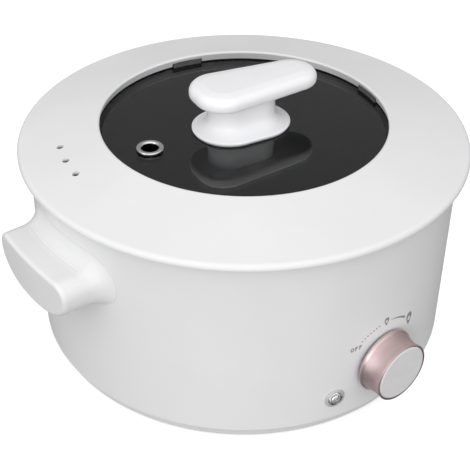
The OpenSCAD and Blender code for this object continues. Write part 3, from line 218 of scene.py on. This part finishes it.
def anodisedAluminium():
    # rose-gold anodised aluminium, spun and bead-blasted before anodising: a soft satin metal whose
    # highlights run along the knob, with faint turning rings
    look = {"colour": "#dcc6c5", "deep": "#d6bebd", "toneSpan": (0.35, 0.65), "ringMm": 0.55,
            "ringDetail": 2.0, "ringStretch": (0.04, 1.0, 0.04), "ringDeepMm": 0.0005,
            "beadMm": 0.35, "beadDetail": 1.0, "beadDeepMm": 0.003, "rough": 0.42,
            "roughPlay": 0.02, "roughSpan": (0.3, 0.7), "coat": 0.15, "coatRough": 0.25}
    made, tree, shader = blank("anodisedAluminium", {"Metallic": 1.0, "Coat Weight": look["coat"],
                                                     "Coat Roughness": look["coatRough"]})
    place = objectPlace(tree)
    rings = noiseOf(tree, stretchedPlace(tree, place, look["ringStretch"]), look["ringMm"],
                    look["ringDetail"])
    beads = noiseOf(tree, place, look["beadMm"], look["beadDetail"])
    fine = bumpOf(tree, beads, look["beadDeepMm"])
    drive(tree, shader,
          colour=toneOf(tree, rings, look["deep"], look["colour"], look["toneSpan"]),
          rough=rangeOf(tree, rings, aroundRough(look), look["roughSpan"]),
          normal=bumpOf(tree, rings, look["ringDeepMm"], fine))
    return made


def clearMaterial(name, look):
    # clear material that light passes through, with a faint unevenness in its skin
    made, tree, shader = blank(name, {"Base Color": linearOf(look["tint"]),
                                      "Roughness": look["rough"], "IOR": look["ior"],
                                      "Transmission Weight": 1.0})
    wave = noiseOf(tree, objectPlace(tree), look["waveMm"], look["waveDetail"])
    drive(tree, shader, normal=bumpOf(tree, wave, look["waveDeepMm"]))
    return made


# tempered soda-lime glass, smoked grey: flat and mirror-smooth, dark because little light comes
# back through it, with the very slight waviness that tempering leaves
smokedGlass = clearMaterial("smokedGlass", {
    "tint": "#8a8c8d", "rough": 0.015, "ior": 1.52, "waveMm": 42, "waveDetail": 1.0,
    "waveDeepMm": 0.012})
# clear polycarbonate, moulded as a small dome: glassy, with a faint flow texture
clearPolycarbonate = clearMaterial("clearPolycarbonate", {
    "tint": "#f2f2f0", "rough": 0.06, "ior": 1.58, "waveMm": 1.6, "waveDetail": 1.0,
    "waveDeepMm": 0.02})


def siliconeRubber(name, colour, deep, through):
    # silicone rubber, moulded or extruded: a little light goes into it, its skin is dull and dusty
    look = {"ior": 1.43, "lightInM": 0.002, "sheen": 0.1, "dustMm": 6, "dustDetail": 4.0,
            "skinMm": 0.5, "skinDetail": 2.0, "skinDeepMm": 0.012, "toneSpan": (0.35, 0.65),
            "roughSpan": (0.3, 0.7), "rough": (0.5, 0.62)}
    made, tree, shader = blank(name, {"IOR": look["ior"], "Subsurface Weight": through,
                                      "Subsurface Scale": look["lightInM"],
                                      "Sheen Weight": look["sheen"]})
    place = objectPlace(tree)
    dust = noiseOf(tree, place, look["dustMm"], look["dustDetail"])
    skin = noiseOf(tree, place, look["skinMm"], look["skinDetail"])
    drive(tree, shader,
          colour=toneOf(tree, dust, deep, colour, look["toneSpan"]),
          rough=rangeOf(tree, dust, look["rough"], look["roughSpan"]),
          normal=bumpOf(tree, skin, look["skinDeepMm"]))
    return made


def nonStickCoating():
    # non-stick coating, sprayed in two coats and baked: near black, a fine stipple and a few
    # lighter specks
    look = {"colour": "#2b2b2d", "speck": "#5a5a5c", "cellMm": 4.4, "speckSpan": (0.1, 0.16),
            "speckShare": (0.7, 0.0), "stippleMm": 0.7, "stippleDetail": 2.0,
            "stippleDeepMm": 0.02, "roughSpan": (0.3, 0.7), "rough": (0.38, 0.5), "ior": 1.42,
            "coat": 0.2, "coatRough": 0.3}
    made, tree, shader = blank("nonStickCoating", {"IOR": look["ior"], "Coat Weight": look["coat"],
                                                   "Coat Roughness": look["coatRough"]})
    place = objectPlace(tree)
    cells = addNode(tree, "ShaderNodeTexVoronoi", None,
                    {"Vector": place, "Scale": perMm(look["cellMm"])})
    spots = rangeOf(tree, cells.outputs["Distance"], look["speckShare"], look["speckSpan"])
    stipple = noiseOf(tree, place, look["stippleMm"], look["stippleDetail"])
    drive(tree, shader,
          colour=toneOf(tree, spots, look["colour"], look["speck"]),
          rough=rangeOf(tree, stipple, look["rough"], look["roughSpan"]),
          normal=bumpOf(tree, stipple, look["stippleDeepMm"]))
    return made


def glassFibreSleeve():
    # braided glass fibre soaked in varnish: crossing cream yarns
    look = {"colour": "#ddd0b0", "deep": "#a9987a", "waveMm": 6.3, "distortion": 0.3,
            "mirror": (-1.0, 1.0, 1.0), "weaveDeepMm": 0.1, "rough": (0.8, 0.6), "ior": 1.5,
            "sheen": 0.3}
    made, tree, shader = blank("glassFibreSleeve", {"IOR": look["ior"],
                                                    "Sheen Weight": look["sheen"]})
    place = objectPlace(tree)
    one, other = [addNode(tree, "ShaderNodeTexWave", {"bands_direction": "DIAGONAL"},
                          {"Vector": way, "Scale": perMm(look["waveMm"]),
                           "Distortion": look["distortion"]}).outputs["Fac"]
                  for way in (place, stretchedPlace(tree, place, look["mirror"]))]
    weave = addNode(tree, "ShaderNodeMath", {"operation": "MAXIMUM"},
                    {0: one, 1: other}).outputs["Value"]
    drive(tree, shader,
          colour=toneOf(tree, weave, look["deep"], look["colour"]),
          rough=rangeOf(tree, weave, look["rough"]),
          normal=bumpOf(tree, weave, look["weaveDeepMm"]))
    return made


def milkyPolycarbonate():
    # milky polycarbonate, moulded: the indicator's diffuser, white and a little see-through
    look = {"colour": "#e8e8e6", "deep": "#d9d9d6", "flowMm": 2.5, "flowDetail": 2.0,
            "rough": (0.2, 0.35), "ior": 1.58, "through": 0.2}
    made, tree, shader = blank("milkyPolycarbonate", {"IOR": look["ior"],
                                                      "Transmission Weight": look["through"]})
    flow = noiseOf(tree, objectPlace(tree), look["flowMm"], look["flowDetail"])
    drive(tree, shader,
          colour=toneOf(tree, flow, look["deep"], look["colour"]),
          rough=rangeOf(tree, flow, look["rough"]))
    return made


def padPrintInk():
    # pad-printed grey ink, one thin coat: slightly uneven cover and a dull skin
    look = {"colour": "#9fa0a2", "deep": "#86878a", "toneSpan": (0.3, 0.75), "coverMm": 0.6,
            "coverDetail": 3.0, "coverDeepMm": 0.005, "rough": (0.5, 0.65), "ior": 1.48}
    made, tree, shader = blank("padPrintInk", {"IOR": look["ior"]})
    cover = noiseOf(tree, objectPlace(tree), look["coverMm"], look["coverDetail"])
    drive(tree, shader,
          colour=toneOf(tree, cover, look["deep"], look["colour"], look["toneSpan"]),
          rough=rangeOf(tree, cover, look["rough"]),
          normal=bumpOf(tree, cover, look["coverDeepMm"]))
    return made


finishOf = {
    "white_shell": satinPolypropylene,
    "white_base": dullShadedPolypropylene,
    "dark_rubber": mouldedRubber,
    "silicone": siliconeRubber("mouldedSilicone", "#c9cacb", "#bbbcbe", 0.3),
    "steel": zincSteel,
    "bright_steel": buffedStainless,
    "pot_coating": nonStickCoating(),
    "cast_aluminium": diecastAluminium,
    "element_tube": annealedTube,
    "aluminised_sheet": rolledAluminised,
    "black_plastic": phenolicResin,
    "fuse_sleeve": glassFibreSleeve(),
    "brass": turnedBrass,
    "bezel_plastic": silverAbs,
    "clear_lens": clearPolycarbonate,
    "lamp_plastic": milkyPolycarbonate(),
    "lead_red": siliconeRubber("redLeadSilicone", "#a8302a", "#8e2722", 0.05),
    "lead_blue": siliconeRubber("blueLeadSilicone", "#2c4c9c", "#243f84", 0.05),
    "lead_green": siliconeRubber("greenLeadSilicone", "#6f9a34", "#5e852a", 0.05),
    "lead_brown": siliconeRubber("brownLeadSilicone", "#6a4630", "#583a28", 0.05),
    "grey_print": padPrintInk(),
    "rose_metal": anodisedAluminium(),
    "grey_face": greyAbs,
    "smoked_glass": smokedGlass,
    "dark_nylon": filledNylon,
}
# the lid's handle takes the copy of the white plastic whose colour is painted brighter for the light
# on its top
handleFinish = {"lid_handle_grip": paintedLitPolypropylene, "lid_handle_stem": paintedLitPolypropylene}
for part in frame["record"]["subparts"]:
    shown = frame["nodes"][part["node"]]
    for slot in shown.material_slots:
        slot.material = handleFinish.get(part["node"], finishOf[part["material_slot"]])
print("materials on", len(frame["nodes"]), "nodes")

# fitted to the photo's outlines: metres, degrees, and millimetres of lens and sensor
cameraLook = {"place": (-0.3412, -0.4213, 0.45089), "pitch": 33.85, "yaw": -0.545, "roll": -0.56,
              "turn": -39.0, "lens": 76.596, "sensor": 36.0, "shiftY": -0.0899, "near": 0.01}


def placeCamera(look):
    pitch, roll = math.radians(look["pitch"]), math.radians(look["roll"])
    ahead = Vector((0, math.cos(pitch), -math.sin(pitch)))
    level = Vector((0, math.sin(pitch), math.cos(pitch)))
    right = Vector((1, 0, 0)) * math.cos(roll) - level * math.sin(roll)
    upward = Vector((1, 0, 0)) * math.sin(roll) + level * math.cos(roll)
    stand = Matrix((right, upward, -ahead)).transposed().to_4x4()
    data = bpy.data.cameras.new("camera")
    data.sensor_width, data.lens = look["sensor"], look["lens"]
    data.shift_y = look["shiftY"]
    data.clip_start = look["near"]
    made = bpy.data.objects.new("camera", data)
    turn = math.radians(look["turn"] - look["yaw"])
    made.matrix_world = Matrix.Translation(look["place"]) @ Matrix.Rotation(turn, 4, "Z") @ stand
    scene.collection.objects.link(made)
    scene.camera = made


placeCamera(cameraLook)

lightLook = {
    "across": (0.783, -0.622, 0),          # the picture's right and its depth, level
    "away": (0.622, 0.783, 0),
    "dim": 0.43, "bright": 1.47,           # the tent away from the lit side, and at its middle
    "litSide": (-0.05, -0.62, 0.80),       # across, away from the camera and up
    "fadeFrom": -0.05, "fadeTo": 0.95,     # where the lit side starts and is full, as cosines
    "below": 0.27,                         # the table's light on the walls
    "horizon": 0.05,                       # half the height over which the table meets the tent
    "aimHeight": 0.08,                     # metres above the table that the lamps point at
    "lamps": [  # name, watts, width, height, direction across, away and up, distance
        ("frontFill", 4.6, 1.2, 0.5, (0.05, -1.0, 0.2), 1.6),
        ("knobStrip", 1.6, 0.5, 1.0, (-0.9, -0.75, 0.12), 1.2),
    ],
}


def wayTo(look, parts):
    # a direction given across, away and up, as seen by the camera
    flat = Vector(look["across"]) * parts[0] + Vector(look["away"]) * parts[1]
    return (flat + Vector((0, 0, parts[2]))).normalized()


def placeLamp(look, name, watts, width, height, towards, distance):
    data = bpy.data.lights.new(name, "AREA")
    data.shape, data.size, data.size_y, data.energy = "RECTANGLE", width, height, watts
    way = wayTo(look, towards)
    made = bpy.data.objects.new(name, data)
    made.matrix_world = (Matrix.Translation(way * distance + Vector((0, 0, look["aimHeight"])))
                         @ way.to_track_quat("Z", "Y").to_matrix().to_4x4())
    scene.collection.objects.link(made)


def hangTent(look):
    # white light tent: brightest over the camera's side, dim behind, the table's light from below
    world = bpy.data.worlds.new("tent")
    scene.world = world
    world.use_nodes = True
    tree = world.node_tree
    tree.nodes.clear()
    way = addNode(tree, "ShaderNodeTexCoord").outputs["Generated"]
    facing = addNode(tree, "ShaderNodeVectorMath", {"operation": "DOT_PRODUCT"},
                     {0: way, 1: wayTo(look, look["litSide"])})
    tent = addNode(tree, "ShaderNodeMapRange", {"interpolation_type": "SMOOTHSTEP"},
                   {"Value": facing.outputs["Value"], "From Min": look["fadeFrom"],
                    "From Max": look["fadeTo"], "To Min": look["dim"], "To Max": look["bright"]})
    height = addNode(tree, "ShaderNodeSeparateXYZ", None, {"Vector": way})
    above = rangeOf(tree, height.outputs["Z"], (0.0, 1.0), (-look["horizon"], look["horizon"]))
    both = addNode(tree, "ShaderNodeMix", {"data_type": "FLOAT"},
                   {"Factor": above, "A": look["below"], "B": tent.outputs["Result"]})
    sky = addNode(tree, "ShaderNodeBackground", None, {"Strength": both.outputs["Result"]})
    addNode(tree, "ShaderNodeOutputWorld", None, {"Surface": sky.outputs["Background"]})


hangTent(lightLook)
for lamp in lightLook["lamps"]:
    placeLamp(lightLook, *lamp)

floorLook = {"colour": "#fafafa", "deep": "#f6f6f6", "fibreMm": 3, "fibreDetail": 3.0, "rough": 0.9,
             "glow": 0.5, "squares": 8, "halfSize": 6.0, "sink": 0.0001}


def layFloor(look):
    # seamless white paper sweep: matt and bright enough to print as white
    mesh = bpy.data.meshes.new("floor")
    shape = bmesh.new()
    bmesh.ops.create_grid(shape, x_segments=look["squares"], y_segments=look["squares"],
                          size=look["halfSize"])
    shape.to_mesh(mesh)
    shape.free()
    made = bpy.data.objects.new("floor", mesh)
    made.location.z = -look["sink"]
    made.visible_diffuse = False      # the tent's "below" stands for its light on the pot
    made.visible_glossy = False
    scene.collection.objects.link(made)
    paper, tree, shader = blank("paperSweep", {"Roughness": look["rough"],
                                               "Emission Color": (1, 1, 1, 1),
                                               "Emission Strength": look["glow"]})
    fibre = noiseOf(tree, objectPlace(tree), look["fibreMm"], look["fibreDetail"])
    drive(tree, shader, colour=toneOf(tree, fibre, look["deep"], look["colour"]))
    mesh.materials.append(paper)


layFloor(floorLook)
scene.view_settings.view_transform = "Standard"
print("camera, floor and light placed")
